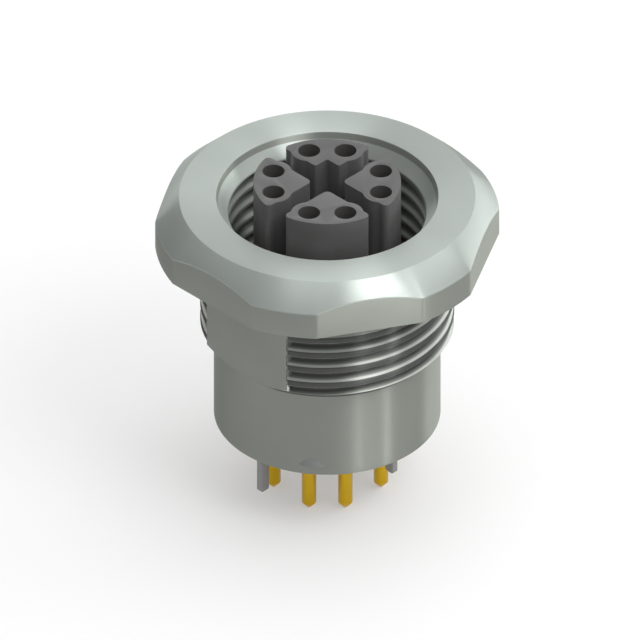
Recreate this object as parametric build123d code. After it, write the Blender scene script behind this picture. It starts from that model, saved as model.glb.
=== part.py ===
"""Circular panel receptacle, 12 mm size, with eight socket contacts in four shielded pairs.

All lengths are in millimetres. The Z axis is the axis of the connector and +Z points out of
its mouth. The origin lies on the axis, in the underside of the flange, where the panel seats.
+X points to the right and -Y to the front. The coding notch of the insert is at +Y.
"""
from build123d import *
import os
from math import cos, hypot, radians, sin, sqrt

# Flange: a hexagon with turned corners
flange_across_flats = 18.0
flange_diameter = 19.0
flange_thickness = 2.95
flange_chamfer_width = 1.33
flange_chamfer_height = 1.30
flange_flat_angle = -75.0

# Inner thread for the plug, a plain wall at its crests, and the mouth above it
inner_thread_diameter = 12.0
inner_thread_pitch = 1.0
throat_relief = 0.02
mouth_draft = 0.11
mouth_draft_depth = 0.37

# Outer thread for the panel nut, a plain wall at its crests, with one flat along it
thread_wall = 1.0
outer_thread_length = 6.08
outer_thread_chamfer = 0.60
thread_flat_angle = -135.0
thread_flat_step = 0.03

# Rear skirt, and the lip inside that the contact carrier seats against
skirt_setback = 0.75
skirt_length = 5.37
skirt_wall = 0.75
skirt_lead_in = 0.15
lip_rise = 0.08
lip_thickness = 0.80

# Places of the contacts: four pairs, and the two contacts of a pair side by side
pair_radius = 2.96
pair_spacing = 2.0

# Socket contacts
socket_bore = 0.78
socket_wall = 0.18
socket_bore_depth = 5.20
socket_recess = 1.20
socket_lead_in = 0.08
socket_slit_width = 0.14
socket_slit_depth = 3.20
shoulder_step = 0.18
shoulder_height = 1.20
tail_diameter = 0.80
tail_reach = 4.44
tail_point_height = 0.34
tail_point_diameter = 0.20

# Contact carrier: four lobes parted by a cross slot, on a neck and a grooved collar
carrier_rise = 0.98
cavity_side_wall = 0.385
cavity_outer_wall = 0.33
cavity_swell = 0.204
cross_slot_depth = 8.33
lobe_tip_round = 0.30
lobe_blend = 0.25
lobe_corner_round = 0.28
notch_wall = 0.675
notch_round = 0.12
neck_step = 0.18
neck_rise = 0.10
collar_thickness = 1.80

# Sealing ring, drawn as squeezed in its groove
ring_thickness = 0.85
ring_width = 0.94
ring_corner = 0.22

# Shield cross: two stamped plates that lap at the axis, with two solder legs each
plate_thickness = 0.35
plate_rise = 0.80
tongue_edge_wall = 0.43
tongue_corner = 0.35
yoke_height = 1.00
leg_width = 0.63
leg_inset = 0.185
leg_chamfer = 0.10
long_leg_reach = 2.90
short_leg_reach = 1.65

# Rear insulator, with two snap noses on springing arms
insulator_recess = 0.20
nose_angle = -98.1
nose_width = 1.42
nose_height = 0.47
nose_offset = 0.38
nose_proud = 0.17
nose_round = 1.30
nose_ramp = 0.17
nose_pad_setback = 0.02
arm_thickness = 0.70
arm_width = 1.90
arm_root = 0.60
arm_slit = 0.30

# Clearances between the pieces, each on one side
bore_clearance = 0.05
neck_clearance = 0.05
socket_clearance = 0.045
shoulder_clearance = 0.04
stem_clearance = 0.04
plate_clearance = 0.04
yoke_clearance = 0.03
ring_clearance = 0.01
ring_side_clearance = 0.08
window_clearance = 0.025

# Heights along the axis, worked out from the sizes above
face_level = flange_thickness
throat_level = face_level - mouth_draft_depth
thread_end = -outer_thread_length
skirt_end = thread_end - skirt_length
lip_top = thread_end + lip_rise
lip_bottom = lip_top - lip_thickness
carrier_face = face_level + carrier_rise
carrier_back = lip_bottom - collar_thickness
slot_floor = carrier_face - cross_slot_depth
socket_top = carrier_face - socket_recess
shoulder_top = carrier_back + shoulder_height
tail_end = skirt_end - tail_reach
plate_top = slot_floor + plate_rise
yoke_bottom = carrier_back - yoke_height
plate_middle = (plate_top + yoke_bottom) / 2
insulator_back = skirt_end + insulator_recess
arm_top = carrier_back - arm_root
nose_low = insulator_back + nose_offset
nose_high = nose_low + nose_height

# Radii and widths worked out from the sizes above
rim_radius = flange_diameter / 2
face_radius = rim_radius - flange_chamfer_width
inner_thread_radius = inner_thread_diameter / 2
inner_crest_radius = inner_thread_radius - 5 / 16 * sqrt(3) * inner_thread_pitch
throat_radius = inner_thread_radius + throat_relief
mouth_radius = throat_radius + mouth_draft
outer_thread_radius = inner_thread_radius + thread_wall
skirt_radius = outer_thread_radius - skirt_setback
bore_radius = skirt_radius - skirt_wall
collar_radius = bore_radius - bore_clearance
groove_radius = bore_radius - ring_thickness
groove_width = ring_width + 2 * ring_side_clearance
socket_radius = socket_bore / 2 + socket_wall
shoulder_radius = socket_radius + shoulder_step
tail_radius = tail_diameter / 2
cavity_radius = socket_radius + socket_clearance
bulge_radius = cavity_radius + cavity_side_wall
lobe_tip = pair_radius - pair_spacing / 2 - sqrt(2) * (bulge_radius - cavity_swell)
cross_slot_width = sqrt(2) * lobe_tip
notch_apex = pair_radius + pair_spacing / 2 - sqrt(2) * (cavity_radius + notch_wall)
notch_side = notch_apex / sqrt(2)
carrier_radius = hypot(pair_radius, pair_spacing / 2) + cavity_radius + cavity_outer_wall
neck_radius = carrier_radius + neck_step
lip_radius = neck_radius + neck_clearance
half_plate_slot = plate_thickness / 2 + plate_clearance
half_passage = carrier_radius - tongue_edge_wall
leg_radius = bore_radius - leg_inset - leg_width / 2
nose_tip_radius = skirt_radius + nose_proud
arm_middle_radius = collar_radius - arm_thickness / 2

QUARTER_TURNS = (0, 90, 180, 270)
HALF_TURNS = (0, 180)
ARM_ANGLES = (-45, 45)
BEYOND = 2 * flange_diameter
UPRIGHT = (Align.CENTER, Align.CENTER, Align.MIN)


def rod(radius, low, high):
    """A cylinder on the axis between two heights."""
    return Pos(0, 0, low) * Cylinder(radius, high - low, align=UPRIGHT)


def block(x_range, y_range, z_range):
    """A box between two values along each direction."""
    size = [high - low for low, high in (x_range, y_range, z_range)]
    middle = [(high + low) / 2 for low, high in (x_range, y_range, z_range)]
    return Pos(*middle) * Box(*size)


def turn(angle, shape):
    """The shape turned about the connector's axis."""
    return Rot(0, 0, angle) * shape


def lathe(points):
    """The solid turned from a closed outline of radius and height pairs."""
    outline = Polyline(*[(radius, 0, height) for radius, height in points], close=True)
    return revolve(make_face(outline), Axis.Z)


def contact_places():
    """The eight contacts' places, pair by pair, counter-clockwise from the front pair."""
    places = []
    for quarter in QUARTER_TURNS:
        towards = radians(quarter - 90)
        for side in (-pair_spacing / 2, pair_spacing / 2):
            x = pair_radius * cos(towards) - side * sin(towards)
            y = pair_radius * sin(towards) + side * cos(towards)
            places.append((x, y))
    return places


def make_shell():
    """The metal body: turned, then the hexagon, the thread's flat and the windows are cut."""
    throat_reach = throat_radius - inner_crest_radius
    body = lathe([
        (mouth_radius, face_level),
        (face_radius, face_level),
        (rim_radius, face_level - flange_chamfer_height),
        (rim_radius, 0),
        (outer_thread_radius, 0),
        (outer_thread_radius, thread_end + outer_thread_chamfer),
        (outer_thread_radius - outer_thread_chamfer, thread_end),
        (skirt_radius, thread_end),
        (skirt_radius, skirt_end),
        (bore_radius + skirt_lead_in, skirt_end),
        (bore_radius, skirt_end + skirt_lead_in),
        (bore_radius, lip_bottom),
        (lip_radius, lip_bottom),
        (lip_radius, lip_top),
        (inner_crest_radius, lip_top),
        (inner_crest_radius, throat_level - throat_reach),
        (throat_radius, throat_level),
    ])
    hexagon = RegularPolygon(flange_across_flats / 2, 6, major_radius=False)
    hexagon = turn(flange_flat_angle + 30, hexagon)
    body -= rod(BEYOND, 0, face_level) - extrude(hexagon, face_level)
    beside_flat = block((skirt_radius + thread_flat_step, BEYOND), (-BEYOND, BEYOND), (thread_end, 0))
    body -= turn(thread_flat_angle, beside_flat)
    half_window = nose_width / 2 + window_clearance
    window = block((arm_middle_radius, BEYOND), (-half_window, half_window),
                   (nose_low - window_clearance, nose_high + window_clearance))
    for half in HALF_TURNS:
        body -= turn(nose_angle + half, window)
    return body


def nearest_vertex(sketch, x, y):
    """The sketch's vertex that lies nearest to a point."""
    return min(sketch.vertices(), key=lambda v: hypot(v.X - x, v.Y - y))


def vertices_outwards(sketch):
    """The sketch's vertices, from the nearest to the axis to the furthest."""
    return sorted(sketch.vertices(), key=lambda v: hypot(v.X, v.Y))


def front_lobe():
    """The outline of the lobe that points to -Y, with its two bulges round the cavities."""
    disc = Circle(carrier_radius)
    quadrant = Rot(0, 0, -135) * Rectangle(BEYOND, BEYOND, align=(Align.MIN, Align.MIN))
    lobe = disc & (Pos(0, -lobe_tip) * quadrant)
    for side in (-pair_spacing / 2, pair_spacing / 2):
        lobe += disc & (Pos(side, -pair_radius) * Circle(bulge_radius))
    where_bulges_meet_sides = vertices_outwards(lobe)[1:-2]
    lobe = fillet(where_bulges_meet_sides, lobe_blend)
    lobe = fillet(nearest_vertex(lobe, 0, -lobe_tip), lobe_tip_round)
    return fillet(vertices_outwards(lobe)[-2:], lobe_corner_round)


def back_lobe():
    """The lobe that points to +Y, with the coding notch in its tip."""
    notch = Pos(0, notch_apex / 2) * Rot(0, 0, 45) * Rectangle(notch_side, notch_side)
    lobe = turn(180, front_lobe()) - notch
    corner_x = (notch_side - cross_slot_width / 2) / sqrt(2)
    corner_y = (notch_side + cross_slot_width / 2) / sqrt(2)
    for x, y in ((0, notch_apex), (-corner_x, corner_y), (corner_x, corner_y)):
        lobe = fillet(nearest_vertex(lobe, x, y), notch_round)
    return lobe


def make_contact_carrier():
    """The dark front insulator: four lobes on a round base, a neck and a grooved collar."""
    body = rod(carrier_radius, carrier_back, slot_floor)
    for quarter in QUARTER_TURNS:
        outline = back_lobe() if quarter == 180 else turn(quarter, front_lobe())
        body += Pos(0, 0, slot_floor) * extrude(outline, carrier_face - slot_floor)
    body += rod(neck_radius, carrier_back, lip_top + neck_rise)
    body += rod(collar_radius, carrier_back, lip_bottom)
    groove_middle = (carrier_back + lip_bottom) / 2
    groove_low = groove_middle - groove_width / 2
    groove_high = groove_middle + groove_width / 2
    body -= rod(BEYOND, groove_low, groove_high) - rod(groove_radius, groove_low, groove_high)
    pocket_radius = shoulder_radius + shoulder_clearance
    for x, y in contact_places():
        body -= Pos(x, y) * rod(cavity_radius, carrier_back, carrier_face)
        body -= Pos(x, y) * rod(pocket_radius, carrier_back, shoulder_top)
    passage = block((-half_passage, half_passage), (-half_plate_slot, half_plate_slot),
                    (carrier_back, carrier_face))
    for angle in ARM_ANGLES:
        body -= turn(angle, passage)
    return body


def make_sealing_ring():
    """The rubber ring in the collar's groove, between its floor and the shell's bore."""
    middle = ((groove_radius + bore_radius) / 2, 0, (carrier_back + lip_bottom) / 2)
    section = Rectangle(ring_thickness - 2 * ring_clearance, ring_width)
    section = chamfer(section.vertices(), ring_corner)
    return revolve(Plane(middle, x_dir=(1, 0, 0), z_dir=(0, -1, 0)) * section, Axis.Z)


def make_contact():
    """One turned socket contact on the Z axis: slit socket, shoulder, stem and solder tail."""
    socket_floor = socket_top - socket_bore_depth
    contact = lathe([
        (0, socket_floor),
        (socket_bore / 2, socket_floor),
        (socket_bore / 2, socket_top - socket_lead_in),
        (socket_bore / 2 + socket_lead_in, socket_top),
        (socket_radius, socket_top),
        (socket_radius, shoulder_top),
        (shoulder_radius, shoulder_top),
        (shoulder_radius, carrier_back),
        (socket_radius, carrier_back),
        (socket_radius, insulator_back),
        (tail_radius, insulator_back),
        (tail_radius, tail_end + tail_point_height),
        (tail_point_diameter / 2, tail_end),
        (0, tail_end),
    ])
    half_slit = socket_slit_width / 2
    slit = block((-socket_radius, socket_radius), (-half_slit, half_slit),
                 (socket_top - socket_slit_depth, socket_top))
    return contact - slit - turn(90, slit)


def make_shield_plate(angle, leg_reach, lap_low, lap_high):
    """One plate of the shield cross, with the slot that laps the other between two heights."""
    half_tongue = half_passage - plate_clearance
    half_yoke = sqrt(bore_radius ** 2 - (plate_thickness / 2) ** 2) - yoke_clearance
    leg_end = skirt_end - leg_reach
    profile = Pos(0, carrier_back) * Rectangle(
        2 * half_tongue, plate_top - carrier_back, align=(Align.CENTER, Align.MIN))
    profile = chamfer(profile.vertices().group_by(Axis.Y)[-1], tongue_corner)
    profile += Pos(0, yoke_bottom) * Rectangle(
        2 * half_yoke, yoke_height, align=(Align.CENTER, Align.MIN))
    for side in (-1, 1):
        leg = Pos(side * leg_radius, leg_end) * Rectangle(
            leg_width, yoke_bottom - leg_end, align=(Align.CENTER, Align.MIN))
        profile += chamfer(leg.vertices().group_by(Axis.Y)[0], leg_chamfer)
    profile -= Pos(0, lap_low) * Rectangle(
        2 * half_plate_slot, lap_high - lap_low, align=(Align.CENTER, Align.MIN))
    return turn(angle, extrude(Plane.XZ * profile, plate_thickness / 2, both=True))


def make_rear_insulator():
    """The disc that closes the back, clamps contacts and plates, and snaps into the skirt."""
    body = rod(collar_radius, insulator_back, carrier_back)
    for x, y in contact_places():
        body -= Pos(x, y) * rod(socket_radius + stem_clearance, insulator_back, carrier_back)
    across_plate = (-half_plate_slot, half_plate_slot)
    yoke_slot = block((-BEYOND, BEYOND), across_plate, (yoke_bottom, carrier_back))
    notch_inside = leg_radius - leg_width / 2 - plate_clearance
    leg_notch = block((notch_inside, BEYOND), across_plate, (insulator_back, yoke_bottom))
    for angle in ARM_ANGLES:
        body -= turn(angle, yoke_slot)
        for half in HALF_TURNS:
            body -= turn(angle + half, leg_notch)
    for half in HALF_TURNS:
        body -= turn(nose_angle + half, around_snap_arm())
        body += turn(nose_angle + half, snap_nose())
    return body


def around_snap_arm():
    """The slits behind and beside one snap arm, which let it spring inwards."""
    behind_arm = collar_radius - arm_thickness
    slit_inside = behind_arm - arm_slit
    half_arm = arm_width / 2
    heights = (insulator_back, arm_top)
    slits = block((slit_inside, behind_arm), (-half_arm, half_arm), heights)
    slits += block((slit_inside, BEYOND), (half_arm, half_arm + arm_slit), heights)
    slits += block((slit_inside, BEYOND), (-half_arm - arm_slit, -half_arm), heights)
    return slits


def snap_nose():
    """One snap nose that points along +X: a rounded ramp on a pad that fills the window."""
    pad = rod(skirt_radius - nose_pad_setback, nose_low, nose_high)
    ramp = Pos(nose_tip_radius - nose_round, 0, nose_low) * Cone(
        nose_round, nose_round - nose_ramp, nose_height, align=UPRIGHT)
    return (pad + ramp) & block((arm_middle_radius, BEYOND), (-nose_width / 2, nose_width / 2),
                                (nose_low, nose_high))


parts = {
    "shell": make_shell(),
    "contact_carrier": make_contact_carrier(),
    "sealing_ring": make_sealing_ring(),
    "shield_plate_long": make_shield_plate(
        ARM_ANGLES[1], long_leg_reach, yoke_bottom, plate_middle + plate_clearance),
    "shield_plate_short": make_shield_plate(
        ARM_ANGLES[0], short_leg_reach, plate_middle - plate_clearance, plate_top),
    "rear_insulator": make_rear_insulator(),
}
for number, (x, y) in enumerate(contact_places(), start=1):
    parts[f"contact_{number}"] = Pos(x, y) * make_contact()

os.makedirs("parts", exist_ok=True)
for name, shape in parts.items():
    export_step(shape, f"parts/{name}.step")
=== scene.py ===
"""The visual model of the circular panel receptacle: cut threads, softened edges and finishes.

Lengths are in metres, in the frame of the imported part: the Z axis is the connector's axis, the
origin lies in the underside of the flange, and -Y is the front of the photograph's view.
"""
from math import asin, cos, pi, radians, sin, sqrt

import bpy
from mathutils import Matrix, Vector


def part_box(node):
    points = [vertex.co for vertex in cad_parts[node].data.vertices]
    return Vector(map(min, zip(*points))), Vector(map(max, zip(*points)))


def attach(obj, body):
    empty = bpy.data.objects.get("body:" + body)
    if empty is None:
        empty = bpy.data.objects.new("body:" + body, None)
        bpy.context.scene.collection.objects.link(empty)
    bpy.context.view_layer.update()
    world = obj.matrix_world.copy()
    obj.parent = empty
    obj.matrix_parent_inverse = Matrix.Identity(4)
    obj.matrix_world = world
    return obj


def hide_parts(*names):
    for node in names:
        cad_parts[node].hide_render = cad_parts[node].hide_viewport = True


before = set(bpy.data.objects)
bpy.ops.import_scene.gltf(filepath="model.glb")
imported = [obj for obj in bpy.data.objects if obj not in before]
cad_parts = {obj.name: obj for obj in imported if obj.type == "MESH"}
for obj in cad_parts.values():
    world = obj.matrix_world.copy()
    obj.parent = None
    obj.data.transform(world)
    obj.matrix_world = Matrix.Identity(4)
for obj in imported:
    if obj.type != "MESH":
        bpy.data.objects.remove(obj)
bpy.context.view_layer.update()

MM = 0.001

# Heights and reach read from the frame
shell_low, shell_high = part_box("shell")
tail_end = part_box("contact_1")[0].z
face_level = shell_high.z
skirt_end = shell_low.z

# Flange: a hexagon with turned corners
flange_across_flats = 18.0 * MM
rim_radius = 9.5 * MM
chamfer_width = 1.33 * MM
chamfer_height = 1.30 * MM
face_radius = rim_radius - chamfer_width
rim_level = face_level - chamfer_height
flange_flat_angles = [radians(60 * side - 75) for side in range(6)]

# Threads, both of one pitch, and the mouth above the inner one
pitch = 1.0 * MM
thread_end = -6.08 * MM
outer_crest = 7.0 * MM
inner_root = 6.0 * MM
outer_depth = 0.44 * pitch
inner_depth = 5 / 16 * sqrt(3) * pitch
outer_root = outer_crest - outer_depth
inner_crest = inner_root - inner_depth
throat_radius = 6.02 * MM
mouth_draft = 0.11 * MM
mouth_draft_depth = 0.37 * MM
throat_level = face_level - mouth_draft_depth
mouth_radius = throat_radius + mouth_draft
end_chamfer = 0.60 * MM
outer_crest_round = 0.22 * MM
inner_crest_round = 0.10 * MM
root_round = 0.13 * MM
flank_lean = radians(60)
crest_lean = radians(15)
past_crest = 0.004 * MM
clear_of_crest = 0.02 * MM
outer_collar_level = -0.22 * MM
inner_collar_level = 1.90 * MM
outer_start = -7.16 * MM
inner_start = -4.91 * MM
outer_turns = 7
inner_turns = 7

# The flat along the outer thread
thread_flat_angle = radians(-135)
thread_flat_distance = 6.28 * MM
mill_overrun = 0.30 * MM

# Rear skirt, its bore and the lip inside; the nose band holds the windows of the snap noses
skirt_radius = 6.25 * MM
bore_radius = 5.5 * MM
skirt_lead_in = 0.15 * MM
nose_band_low = 0.50 * MM
nose_band_high = 1.15 * MM
lip_radius = 4.30 * MM
lip_top = -6.00 * MM
lip_bottom = -6.80 * MM

# Edges as tools and moulds leave them
turned_edge = 0.06 * MM
moulded_edge = 0.05 * MM
rubber_edge = 0.12 * MM
stamped_edge = 0.03 * MM
contact_edge = 0.02 * MM
turned_corner_angle = radians(30)
piece_corner_angle = radians(35)
smooth_angle = radians(28)
facet_angle = radians(0.5)

# Fineness of round forms, and how close points are to count as one
lathe_steps = 240
helix_steps = 120
round_steps = 3
same_point = 1e-7
same_point_after_cuts = 5e-7
cut_tolerance = 1e-8

# Reach of a milling block, past the whole body
beyond = 2 * rim_radius

# Where the nickel's finish, its painted shade and highlights and its lighter painted tops change; a
# pair says where a blend begins and where it is full
crest_to_edge = outer_crest - 0.032 * MM, outer_crest - 0.060 * MM
root_to_flank = outer_crest - 0.40 * MM, outer_crest - 0.10 * MM
flank_to_edge = outer_crest - 0.22 * MM, outer_crest - 0.15 * MM
skirt_to_thread = skirt_radius + 0.05 * MM, skirt_radius + 0.10 * MM
flat_to_thread = thread_flat_distance - 0.01 * MM, thread_flat_distance - 0.05 * MM
collar_to_thread = -0.10 * MM, -0.24 * MM
collar_to_edges = -0.02 * MM, -0.06 * MM
end_to_thread = thread_end - 0.05 * MM, thread_end + 0.05 * MM
end_to_edges = thread_end, thread_end + 0.10 * MM
inner_crest_to_groove = inner_crest + 0.12 * MM, inner_crest + 0.28 * MM
body_to_groove = inner_root + 0.15 * MM, inner_root + 0.08 * MM
cone_to_inner_thread = inner_collar_level + 0.06 * MM, inner_collar_level
lip_to_inner_thread = lip_top - 0.02 * MM, lip_top + 0.02 * MM
rim_to_chamfer = -0.10 * MM, -0.04 * MM
chamfer_to_face = face_level - 0.08 * MM, face_level - 0.04 * MM
inner_thread_to_cone = inner_collar_level - 0.02 * MM, inner_collar_level + 0.08 * MM
draft_to_cone = throat_level + 0.02 * MM, throat_level - 0.02 * MM
face_to_mouth = mouth_radius + 0.4 * MM, mouth_radius + 0.2 * MM

# Satin of the nickel, and how strong the painted shade in its inner thread is beside the outer one
satin_roughness = 0.355
faced_smoothness = 0.075
tool_mark_roughness = 0.06
grain_roughness = 0.04
tool_slant = 0.61
inner_thread_shade_strength = 0.85

# The photograph's view: parallel, from the front and above
PHOTO_WIDTH = 640
PIXELS_PER_MM = 18.15
AXIS_COLUMN = 327.2
FACE_ROW = 196.0
camera_elevation = asin(1 / sqrt(3))
camera_distance = 0.40

# Floor, and the room round it
floor_size = 1.2
floor_grey = 0.78
floor_whitening = 0.33
wall_softness = 0.08
ceiling_foot = 0.1
ceiling_top = 0.7

# Lamps: azimuth and elevation in degrees, width and height in metres, and radiance
lamp_distance = 0.30
softboxes = {
    "top_softbox": (0, 88, 0.18, 0.18, 1.7),
    "cone_softbox": (42, 53, 0.125, 0.12, 4.9),
    "right_softbox": (76, 44, 0.33, 0.11, 2.0),
    "low_softbox": (130, 1, 0.32, 0.05, 4.6),
    "front_strip": (29, 4, 0.014, 0.12, 9.0),
    "side_strip": (57, 4, 0.020, 0.12, 11.0),
}

contact_count = 8


def deselect():
    """Leaves edit mode and selects nothing."""
    if bpy.context.object and bpy.context.object.mode != "OBJECT":
        bpy.ops.object.mode_set(mode="OBJECT")
    bpy.ops.object.select_all(action="DESELECT")


def edit(piece):
    """Opens a piece in edit mode with all of it selected."""
    deselect()
    bpy.context.view_layer.objects.active = piece
    piece.select_set(True)
    bpy.ops.object.mode_set(mode="EDIT")
    bpy.ops.mesh.select_all(action="SELECT")


def named(piece, name):
    """Gives a piece and its mesh one name."""
    piece.name = name
    piece.data.name = name
    return piece


def drawn_outline(name, points):
    """A closed outline of radius and height pairs in the XZ plane, drawn point by point."""
    deselect()
    bpy.ops.mesh.primitive_plane_add(size=MM)
    piece = named(bpy.context.object, name)
    edit(piece)
    bpy.ops.mesh.merge(type="CENTER")
    last = Vector((points[0][0], 0, points[0][1]))
    bpy.ops.transform.translate(value=last)
    for radius, height in points[1:]:
        step = Vector((radius, 0, height)) - last
        bpy.ops.mesh.extrude_vertices_move(TRANSFORM_OT_translate={"value": step})
        last += step
    bpy.ops.mesh.select_all(action="SELECT")
    bpy.ops.mesh.edge_face_add()
    bpy.ops.mesh.delete(type="ONLY_FACE")
    bpy.ops.object.mode_set(mode="OBJECT")
    return piece


def close_up():
    """Merges what meets in the open mesh and turns its faces outwards."""
    bpy.ops.mesh.select_all(action="SELECT")
    bpy.ops.mesh.remove_doubles(threshold=same_point)
    bpy.ops.mesh.normals_make_consistent(inside=False)


def apply(piece, kind, **settings):
    """Adds a modifier to a piece with its settings and applies it."""
    deselect()
    bpy.context.view_layer.objects.active = piece
    modifier = piece.modifiers.new(kind.lower(), kind)
    for name, value in settings.items():
        setattr(modifier, name, value)
    bpy.ops.object.modifier_apply(modifier=modifier.name)


def cut(piece, tool):
    """Cuts a tool's shape out of a piece and removes the tool."""
    apply(piece, "BOOLEAN", object=tool, operation="DIFFERENCE", solver="EXACT")
    bpy.data.objects.remove(tool)


def block(name, low, high, angle):
    """A box between two corners, turned about the connector's axis."""
    deselect()
    middle = (Vector(low) + Vector(high)) / 2
    bpy.ops.mesh.primitive_cube_add(size=1, location=middle, scale=Vector(high) - Vector(low))
    piece = named(bpy.context.object, name)
    bpy.ops.object.transform_apply(location=True, rotation=True, scale=True)
    piece.rotation_euler.z = angle
    bpy.ops.object.transform_apply(location=False, rotation=True, scale=False)
    return piece


def turned_body():
    """The shell as it leaves the lathe, before it is milled and threaded."""
    body = drawn_outline("receptacle_shell", [
        (mouth_radius, face_level),
        (face_radius, face_level),
        (rim_radius, rim_level),
        (rim_radius, 0),
        (outer_crest, 0),
        (outer_crest, thread_end + end_chamfer),
        (outer_crest - end_chamfer, thread_end),
        (skirt_radius, thread_end),
        (skirt_radius, skirt_end + nose_band_high),
        (skirt_radius, skirt_end + nose_band_low),
        (skirt_radius, skirt_end),
        (bore_radius + skirt_lead_in, skirt_end),
        (bore_radius, skirt_end + skirt_lead_in),
        (bore_radius, lip_bottom),
        (lip_radius, lip_bottom),
        (lip_radius, lip_top),
        (inner_crest, lip_top),
        (inner_crest, inner_collar_level),
        (throat_radius, throat_level),
    ])
    edit(body)
    bpy.ops.mesh.spin(steps=lathe_steps, angle=2 * pi, center=(0, 0, 0), axis=(0, 0, 1))
    close_up()
    return body


def mill_hexagon(body):
    """Cuts the flange's six flats with a plane each."""
    for angle in flange_flat_angles:
        outwards = Vector((cos(angle), sin(angle), 0))
        edit(body)
        bpy.ops.mesh.bisect(plane_co=outwards * flange_across_flats / 2, plane_no=outwards,
                            use_fill=True, clear_outer=True, threshold=cut_tolerance)
    bpy.ops.object.mode_set(mode="OBJECT")


def thread_groove(name, profile, start, turns):
    """A closed right-handed helix that cuts the groove between a thread's turns."""
    groove = drawn_outline(name, [(radius, start + height) for radius, height in profile])
    apply(groove, "SCREW", axis="Z", angle=2 * pi, screw_offset=pitch, iterations=turns,
          steps=helix_steps, render_steps=helix_steps)
    edit(groove)
    bpy.ops.mesh.select_all(action="DESELECT")
    bpy.ops.mesh.select_non_manifold()
    bpy.ops.mesh.fill_holes(sides=0)
    close_up()
    bpy.ops.object.mode_set(mode="OBJECT")
    return groove


def groove_profile(crest, root, crest_round):
    """A 60 degree groove, rounded at its root and at the crests beside it, open past the crest."""
    out_of_metal = 1 if crest > root else -1
    root_depth = root_round * (1 - cos(flank_lean))
    crest_depth = crest_round * (cos(crest_lean) - cos(flank_lean))
    flank_depth = abs(crest - root) + past_crest - root_depth - crest_depth
    half = [(0, 0)]
    for step in range(1, round_steps + 1):
        angle = flank_lean * step / round_steps
        half.append((root_round * (1 - cos(angle)), root_round * sin(angle)))
    depth, half_width = half[-1]
    depth += flank_depth
    half_width += flank_depth / sin(flank_lean) * cos(flank_lean)
    half.append((depth, half_width))
    for step in range(1, round_steps + 1):
        angle = flank_lean + (crest_lean - flank_lean) * step / round_steps
        half.append((depth + crest_round * (cos(angle) - cos(flank_lean)),
                     half_width + crest_round * (sin(flank_lean) - sin(angle))))
    half.append((half[-1][0] + clear_of_crest, half[-1][1]))
    both = [(d, -w) for d, w in reversed(half[1:])] + half
    return [(root + out_of_metal * d, w) for d, w in both]


def stop_groove(groove, level):
    """Ends a groove at a height, so that a plain collar is left above it."""
    edit(groove)
    bpy.ops.mesh.bisect(plane_co=(0, 0, level), plane_no=(0, 0, 1), use_fill=True,
                        clear_outer=True, threshold=cut_tolerance)
    bpy.ops.object.mode_set(mode="OBJECT")


def cut_outer_thread(body):
    """The thread for the panel nut, which stops at a thin collar under the flange."""
    profile = groove_profile(outer_crest, outer_root, outer_crest_round)
    groove = thread_groove("outer_groove", profile, outer_start, outer_turns)
    stop_groove(groove, outer_collar_level)
    half_flat = sqrt(outer_crest ** 2 - thread_flat_distance ** 2)
    cut(groove, block("flat_web", (0, -half_flat, -beyond), (beyond, half_flat, 0),
                      thread_flat_angle))
    cut(body, groove)


def cut_inner_thread(body):
    """The thread for the plug's coupling sleeve, which stops at a thin collar under the cone."""
    profile = groove_profile(inner_crest, inner_root, inner_crest_round)
    groove = thread_groove("inner_groove", profile, inner_start, inner_turns)
    stop_groove(groove, inner_collar_level - clear_of_crest)
    cut(body, groove)


def round_edges(piece, width, corner_angle):
    """Rounds the edges of a piece that turn by more than an angle."""
    apply(piece, "BEVEL", width=width, segments=2, limit_method="ANGLE", angle_limit=corner_angle,
          use_clamp_overlap=True)


def make_shell():
    """The whole metal body, with a pocket for each snap nose of the rear insulator."""
    body = turned_body()
    mill_hexagon(body)
    cut(body, block("flat_mill", (thread_flat_distance, -beyond, thread_end - mill_overrun),
                    (beyond, beyond, 0), thread_flat_angle))
    round_edges(body, turned_edge, turned_corner_angle)
    cut_inner_thread(body)
    cut_outer_thread(body)
    cut(body, softened("rear_insulator", "pocket_tool", moulded_edge))
    edit(body)
    bpy.ops.mesh.remove_doubles(threshold=same_point_after_cuts)
    bpy.ops.mesh.dissolve_degenerate(threshold=same_point_after_cuts)
    bpy.ops.object.mode_set(mode="OBJECT")
    return body


def softened(node, name, edge):
    """A copy of a CAD node with its facets merged and its edges rounded."""
    deselect()
    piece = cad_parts[node].copy()
    piece.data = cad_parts[node].data.copy()
    bpy.context.scene.collection.objects.link(piece)
    piece.parent = None
    named(piece, name)
    edit(piece)
    close_up()
    bpy.ops.mesh.dissolve_limited(angle_limit=facet_angle)
    bpy.ops.object.mode_set(mode="OBJECT")
    round_edges(piece, edge, piece_corner_angle)
    return piece


def finish_piece(piece, material, slot, *nodes):
    """Smooths a piece, paints it and puts it in the place of its CAD nodes."""
    deselect()
    bpy.context.view_layer.objects.active = piece
    piece.select_set(True)
    bpy.ops.object.shade_smooth_by_angle(angle=smooth_angle)
    piece.data.materials.clear()
    piece.data.materials.append(material)
    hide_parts(*nodes)
    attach(piece, "root")


class Value:
    """A number that varies over a surface, so that its maths is written as an expression."""

    def __init__(self, finish, socket):
        self.finish = finish
        self.socket = socket

    def maths(self, operation, first, second):
        """One step of maths on two numbers, each fixed or varying."""
        return self.finish.node("ShaderNodeMath", {"operation": operation}, {0: first, 1: second})

    def at_least(self, other):
        """The larger of this number and another."""
        return self.maths("MAXIMUM", self, other)

    def __add__(self, other):
        return self.maths("ADD", self, other)

    def __sub__(self, other):
        return self.maths("SUBTRACT", self, other)

    def __rsub__(self, other):
        return self.maths("SUBTRACT", other, self)

    def __mul__(self, other):
        return self.maths("MULTIPLY", self, other)

    def __pow__(self, other):
        return self.maths("POWER", self, other)

    __radd__ = __add__
    __rmul__ = __mul__


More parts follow.
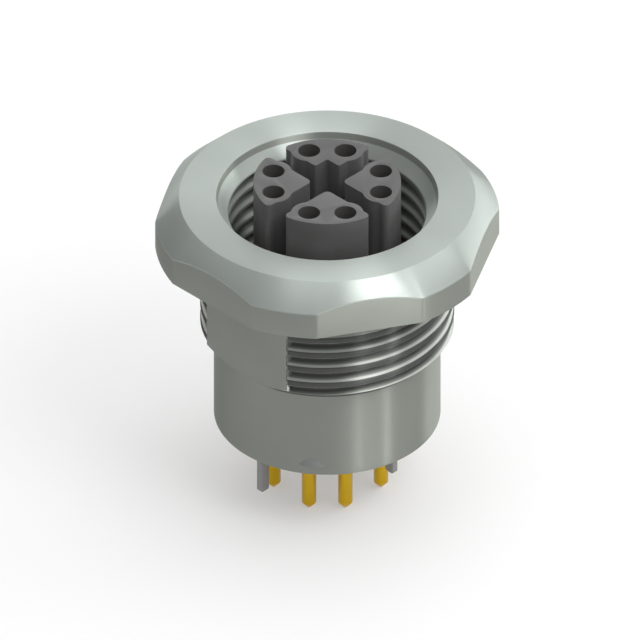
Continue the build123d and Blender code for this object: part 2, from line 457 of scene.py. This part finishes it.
class Finish:
    """One material or light shader, with its nodes added by a single method."""

    def __init__(self, owner):
        owner.use_nodes = True
        self.owner = owner
        self.tree = owner.node_tree
        self.tree.nodes.clear()

    def node(self, kind, settings=None, inputs=None, output=0):
        """Adds a node, sets it, feeds its sockets and gives the output asked for."""
        node = self.tree.nodes.new(kind)
        for name, value in (settings or {}).items():
            setattr(node, name, value)
        for name, value in (inputs or {}).items():
            if isinstance(value, Value):
                self.tree.links.new(value.socket, node.inputs[name])
            else:
                node.inputs[name].default_value = value
        return Value(self, node.outputs[output]) if node.outputs else None

    def ramp(self, value, low, high):
        """Rises smoothly from 0 to 1 as a value goes from low to high."""
        return self.node("ShaderNodeMapRange", {"interpolation_type": "SMOOTHSTEP"}, {
            "Value": value, "From Min": low, "From Max": high})

    def place(self):
        """The X, Y and Z of the point in the connector's frame."""
        point = self.node("ShaderNodeTexCoord", output="Object")
        return [self.node("ShaderNodeSeparateXYZ", inputs={"Vector": point}, output=name)
                for name in "XYZ"]

    def noise(self, per_mm, detail=2.0):
        """Even noise from 0 to 1, with about this many grains to the millimetre."""
        point = self.node("ShaderNodeTexCoord", output="Object")
        return self.node("ShaderNodeTexNoise", inputs={
            "Vector": point, "Scale": per_mm / MM, "Detail": detail, "Roughness": 0.5},
            output="Fac")

    def lines(self, along, per_mm):
        """Noise from 0 to 1 along one length only, with about this many marks to the millimetre."""
        return self.node("ShaderNodeTexNoise", {"noise_dimensions": "1D"}, {
            "W": along, "Scale": per_mm / MM, "Detail": 2.0, "Roughness": 0.6}, output="Fac")

    def blend(self, factor, first, second):
        """Goes from one colour to another as a factor goes from 0 to 1."""
        return self.node("ShaderNodeMix", {"data_type": "RGBA"}, {
            "Factor": factor, 6: first, 7: second}, output=2)

    def between(self, factor, dark, light):
        """The colour between two fixed ones, by a factor."""
        return self.blend(factor, (*dark, 1), (*light, 1))

    def bump(self, height, strength, depth):
        """Normals from a height from 0 to 1, of this real depth."""
        return self.node("ShaderNodeBump", inputs={
            "Height": height, "Strength": strength, "Distance": depth}, output="Normal")

    def surface(self, **inputs):
        """The material's surface, from the sockets of the general shader."""
        named_inputs = {name.replace("_", " "): value for name, value in inputs.items()}
        shader = self.node("ShaderNodeBsdfPrincipled", inputs=named_inputs)
        self.node("ShaderNodeOutputMaterial", inputs={"Surface": shader})
        return self.owner


def outer_thread_zones(finish, x, y, z, radius):
    """Where shade is painted into the outer thread, lifted on its flanks, and where highlights are
    painted on the edges of its turns.
    """
    flat_distance = cos(thread_flat_angle) * x + sin(thread_flat_angle) * y
    off_flat = finish.ramp(flat_distance, *flat_to_thread)
    off_crest = finish.ramp(radius, *crest_to_edge)
    flank_shade_lift = finish.ramp(radius, *root_to_flank) * off_crest
    threaded = (finish.ramp(radius, *skirt_to_thread) * finish.ramp(z, *collar_to_thread)
                * finish.ramp(z, *end_to_thread) * off_flat)
    edge_highlight_mask = (finish.ramp(radius, *flank_to_edge) * off_crest * off_flat
                      * finish.ramp(z, *collar_to_edges) * finish.ramp(z, *end_to_edges))
    # Painted shade over the threaded turns, lifted on the flanks; the second mask places painted
    # highlights on the turns' edges
    return (1 - flank_shade_lift) * threaded, edge_highlight_mask


def inner_thread_zone(finish, z, radius):
    """Where shade is painted into the inner thread's grooves, between the mouth's cone and the lip.
    """
    groove = finish.ramp(radius, *inner_crest_to_groove) * finish.ramp(radius, *body_to_groove)
    return (inner_thread_shade_strength * groove * finish.ramp(z, *cone_to_inner_thread)
            * finish.ramp(z, *lip_to_inner_thread))


def faced_and_lit_zones(finish, z, radius):
    """Where the nickel is faced smooth and painted lighter, as if lit from above, and the part of
    that inside the mouth, which gets a painted highlight.
    """
    above_rim = z - rim_level + (radius - rim_radius) * (chamfer_height / chamfer_width)
    mouth_cone = (finish.ramp(z, *inner_thread_to_cone) * finish.ramp(z, *draft_to_cone)
                  * finish.ramp(radius, *face_to_mouth))
    chamfer = finish.ramp(above_rim, *rim_to_chamfer)
    face = finish.ramp(z, *chamfer_to_face)
    return chamfer.at_least(face).at_least(mouth_cone), mouth_cone


def nickel_finish():
    """Satin nickel plate over turned metal, with shade painted dark into the threads, highlights
    painted on the edges of the outer thread's turns and inside the mouth, and the faced tops
    painted lighter than the walls, as if lit from above.
    """
    finish = Finish(bpy.data.materials.new("satin_nickel"))
    x, y, z = finish.place()
    radius = (x * x + y * y) ** 0.5
    rings = finish.lines(radius + tool_slant * z, per_mm=14.0)
    cloud = finish.noise(per_mm=0.35)
    grain = finish.noise(per_mm=16.0)
    # Painted shade: where the threads are darkened in place of the shade down in them
    outer_thread_shade, edge_highlight_mask = outer_thread_zones(finish, x, y, z, radius)
    thread_shade_mask = outer_thread_shade + inner_thread_zone(finish, z, radius)
    faced_and_lit, mouth_cone = faced_and_lit_zones(finish, z, radius)

    # Painted light: the walls take a darker, shaded copy of the plate and the faced tops a lighter,
    # lit copy
    shaded_wall_plate = finish.between(cloud, (0.298, 0.316, 0.285), (0.334, 0.353, 0.320))
    # Painted highlight: a bright plate colour on the edges of the outer thread's turns
    painted_edge_highlight = finish.between(cloud, (0.58, 0.60, 0.57), (0.64, 0.66, 0.63))
    lit_faced_plate = finish.between(cloud, (0.38, 0.415, 0.390), (0.42, 0.455, 0.43))
    # Painted highlight: a bright colour on the cone inside the mouth, where the carrier keeps the
    # lamps' light from it
    painted_mouth_highlight = finish.between(cloud, (0.61, 0.66, 0.62), (0.65, 0.71, 0.665))
    # Painted shade: the dark colour of the threads, standing in for their shade
    painted_thread_shade = finish.between(cloud, (0.095, 0.099, 0.093), (0.135, 0.139, 0.131))
    walls = finish.blend(edge_highlight_mask, shaded_wall_plate, painted_edge_highlight)
    top = finish.blend(mouth_cone, lit_faced_plate, painted_mouth_highlight)
    return finish.surface(
        Base_Color=finish.blend(thread_shade_mask, finish.blend(faced_and_lit, walls, top), painted_thread_shade),
        Specular_Tint=(0.45, 0.45, 0.45, 1),
        Metallic=1.0,
        Roughness=(satin_roughness - faced_smoothness * faced_and_lit
                   + tool_mark_roughness * rings + grain_roughness * grain),
        Anisotropic=1.0,
        Anisotropic_Rotation=0.25,
        Normal=finish.bump(rings + 0.35 * grain, strength=0.5, depth=0.006 * MM))


def moulded_finish(name, dark, light, roughness):
    """Moulded plastic with a fine spark-eroded texture and faint flow clouds."""
    finish = Finish(bpy.data.materials.new(name))
    grain = finish.noise(per_mm=9.0, detail=3.0)
    cloud = finish.noise(per_mm=0.5)
    return finish.surface(
        Base_Color=finish.between(0.6 * cloud + 0.4 * grain, dark, light),
        Roughness=roughness + 0.12 * grain,
        Specular_IOR_Level=0.45,
        Normal=finish.bump(grain, strength=0.5, depth=0.010 * MM))


def gold_finish():
    """Gold plate over turned brass."""
    finish = Finish(bpy.data.materials.new("gold_plate"))
    z = finish.place()[2]
    rings = finish.lines(z, per_mm=18.0)
    cloud = finish.noise(per_mm=1.2)
    return finish.surface(
        Base_Color=finish.between(cloud, (0.60, 0.375, 0.018), (0.68, 0.43, 0.028)),
        Metallic=1.0,
        Roughness=0.26 + 0.10 * rings,
        Normal=finish.bump(rings, strength=0.4, depth=0.004 * MM))


def tin_finish():
    """Matt tin over rolled and stamped strip."""
    finish = Finish(bpy.data.materials.new("matt_tin"))
    z = finish.place()[2]
    grain = finish.noise(per_mm=14.0, detail=3.0)
    rolled = finish.lines(z, per_mm=9.0)
    return finish.surface(
        Base_Color=finish.between(grain, (0.24, 0.24, 0.242), (0.30, 0.30, 0.302)),
        Metallic=0.6,
        Roughness=0.38 + 0.10 * grain + 0.05 * rolled,
        Normal=finish.bump(grain + rolled, strength=0.5, depth=0.005 * MM))


def rubber_finish():
    """Black moulded rubber, slightly bloomed."""
    finish = Finish(bpy.data.materials.new("seal_rubber"))
    grain = finish.noise(per_mm=6.0, detail=3.0)
    return finish.surface(
        Base_Color=finish.between(grain, (0.018, 0.018, 0.018), (0.032, 0.032, 0.032)),
        Roughness=0.55 + 0.2 * grain,
        Normal=finish.bump(grain, strength=0.4, depth=0.008 * MM))


def make_floor():
    """The plain pale floor that the tails stand on."""
    deselect()
    bpy.ops.mesh.primitive_plane_add(size=floor_size, location=(0, 0, tail_end))
    floor = named(bpy.context.object, "floor")
    finish = Finish(bpy.data.materials.new("pale_floor"))
    seen_rays = [finish.node("ShaderNodeLightPath", output=name)
                 for name in ("Is Camera Ray", "Is Glossy Ray", "Is Transmission Ray")]
    seen = finish.node("ShaderNodeMath", {"operation": "MINIMUM"}, {0: sum(seen_rays), 1: 1.0})
    lit = finish.node("ShaderNodeBsdfDiffuse", inputs={
        "Color": (floor_grey, floor_grey, floor_grey, 1)})
    white = finish.node("ShaderNodeEmission", inputs={"Color": (1, 1, 1, 1), "Strength": 1.0})
    mixed = finish.node("ShaderNodeMixShader", inputs={0: floor_whitening * seen, 1: lit, 2: white})
    finish.node("ShaderNodeOutputMaterial", inputs={"Surface": mixed})
    floor.data.materials.append(finish.owner)


def towards(azimuth, elevation):
    """The direction of a light; azimuth 0 is behind the camera and 90 to its right, in degrees."""
    turn, rise = radians(azimuth - 90), radians(elevation)
    return Vector((cos(turn) * cos(rise), sin(turn) * cos(rise), sin(rise)))


def light_room(dim, bright, right_edge, left_edge, ceiling):
    """Dim light all round, with a pale ceiling and a bright wall between two azimuths."""
    world = bpy.data.worlds.new("room")
    bpy.context.scene.world = world
    finish = Finish(world)
    ray = finish.node("ShaderNodeTexCoord", output="Generated")
    past_right, past_left = [
        finish.node("ShaderNodeVectorMath", {"operation": "DOT_PRODUCT"}, {
            0: ray, 1: towards(inwards, 0)}, output="Value")
        for inwards in (right_edge + 90, left_edge - 90)]
    height = finish.node("ShaderNodeSeparateXYZ", inputs={"Vector": ray}, output="Z")
    wall = (finish.ramp(past_right, -wall_softness, wall_softness)
            * finish.ramp(past_left, -wall_softness, wall_softness))
    overhead = finish.ramp(height, ceiling_foot, ceiling_top)
    strength = dim + (bright - dim) * wall + ceiling * (1 - wall) * overhead
    light = finish.node("ShaderNodeBackground", inputs={
        "Color": (1, 1, 1, 1), "Strength": strength})
    finish.node("ShaderNodeOutputWorld", inputs={"Surface": light})


def add_softbox(name, azimuth, elevation, width, height, radiance):
    """A rectangular lamp that faces the connector, as bright all over as its radiance says."""
    lamp = bpy.data.lights.new(name, "AREA")
    lamp.shape = "RECTANGLE"
    lamp.size = width
    lamp.size_y = height
    lamp.energy = pi * radiance * width * height
    softbox = bpy.data.objects.new(name, lamp)
    bpy.context.scene.collection.objects.link(softbox)
    softbox.location = towards(azimuth, elevation) * lamp_distance
    softbox.rotation_euler = towards(azimuth, elevation).to_track_quat("Z", "Y").to_euler()


def place_camera():
    """A parallel camera at the photograph's angle, scale and framing."""
    upwards = Vector((0, sin(camera_elevation), cos(camera_elevation)))
    backwards = Vector((0, -cos(camera_elevation), sin(camera_elevation)))
    across = (PHOTO_WIDTH / 2 - AXIS_COLUMN) / PIXELS_PER_MM * MM
    below = (PHOTO_WIDTH / 2 - FACE_ROW) / PIXELS_PER_MM * MM
    middle = Vector((across, 0, face_level)) - upwards * below
    lens = bpy.data.cameras.new("photo_view")
    lens.type = "ORTHO"
    lens.ortho_scale = PHOTO_WIDTH / PIXELS_PER_MM * MM
    camera = bpy.data.objects.new("photo_view", lens)
    bpy.context.scene.collection.objects.link(camera)
    camera.location = middle + backwards * camera_distance
    camera.rotation_euler = backwards.to_track_quat("Z", "Y").to_euler()
    bpy.context.scene.camera = camera


nickel = nickel_finish()
gold = gold_finish()
tin = tin_finish()
rubber = rubber_finish()
carrier_plastic = moulded_finish("dark_moulded_plastic", (0.068, 0.067, 0.067),
                                 (0.088, 0.087, 0.087), roughness=0.36)
insulator_plastic = moulded_finish("grey_moulded_plastic", (0.165, 0.167, 0.168),
                                   (0.21, 0.212, 0.213), roughness=0.42)

finish_piece(make_shell(), nickel, "nickel", "shell")
finish_piece(softened("contact_carrier", "moulded_carrier", moulded_edge),
             carrier_plastic, "carrier_plastic", "contact_carrier")
finish_piece(softened("rear_insulator", "moulded_insulator", moulded_edge),
             insulator_plastic, "insulator_plastic", "rear_insulator")
finish_piece(softened("sealing_ring", "moulded_ring", rubber_edge),
             rubber, "seal_rubber", "sealing_ring")
for plate in ("shield_plate_long", "shield_plate_short"):
    finish_piece(softened(plate, plate.replace("shield", "stamped"), stamped_edge),
                 tin, "tin", plate)
for number in range(1, contact_count + 1):
    finish_piece(softened(f"contact_{number}", f"turned_contact_{number}", contact_edge),
                 gold, "gold", f"contact_{number}")

make_floor()
light_room(dim=0.10, bright=1.36, right_edge=105, left_edge=214, ceiling=0.67)
for name, settings in softboxes.items():
    add_softbox(name, *settings)
place_camera()
bpy.context.scene.view_settings.view_transform = "Standard"
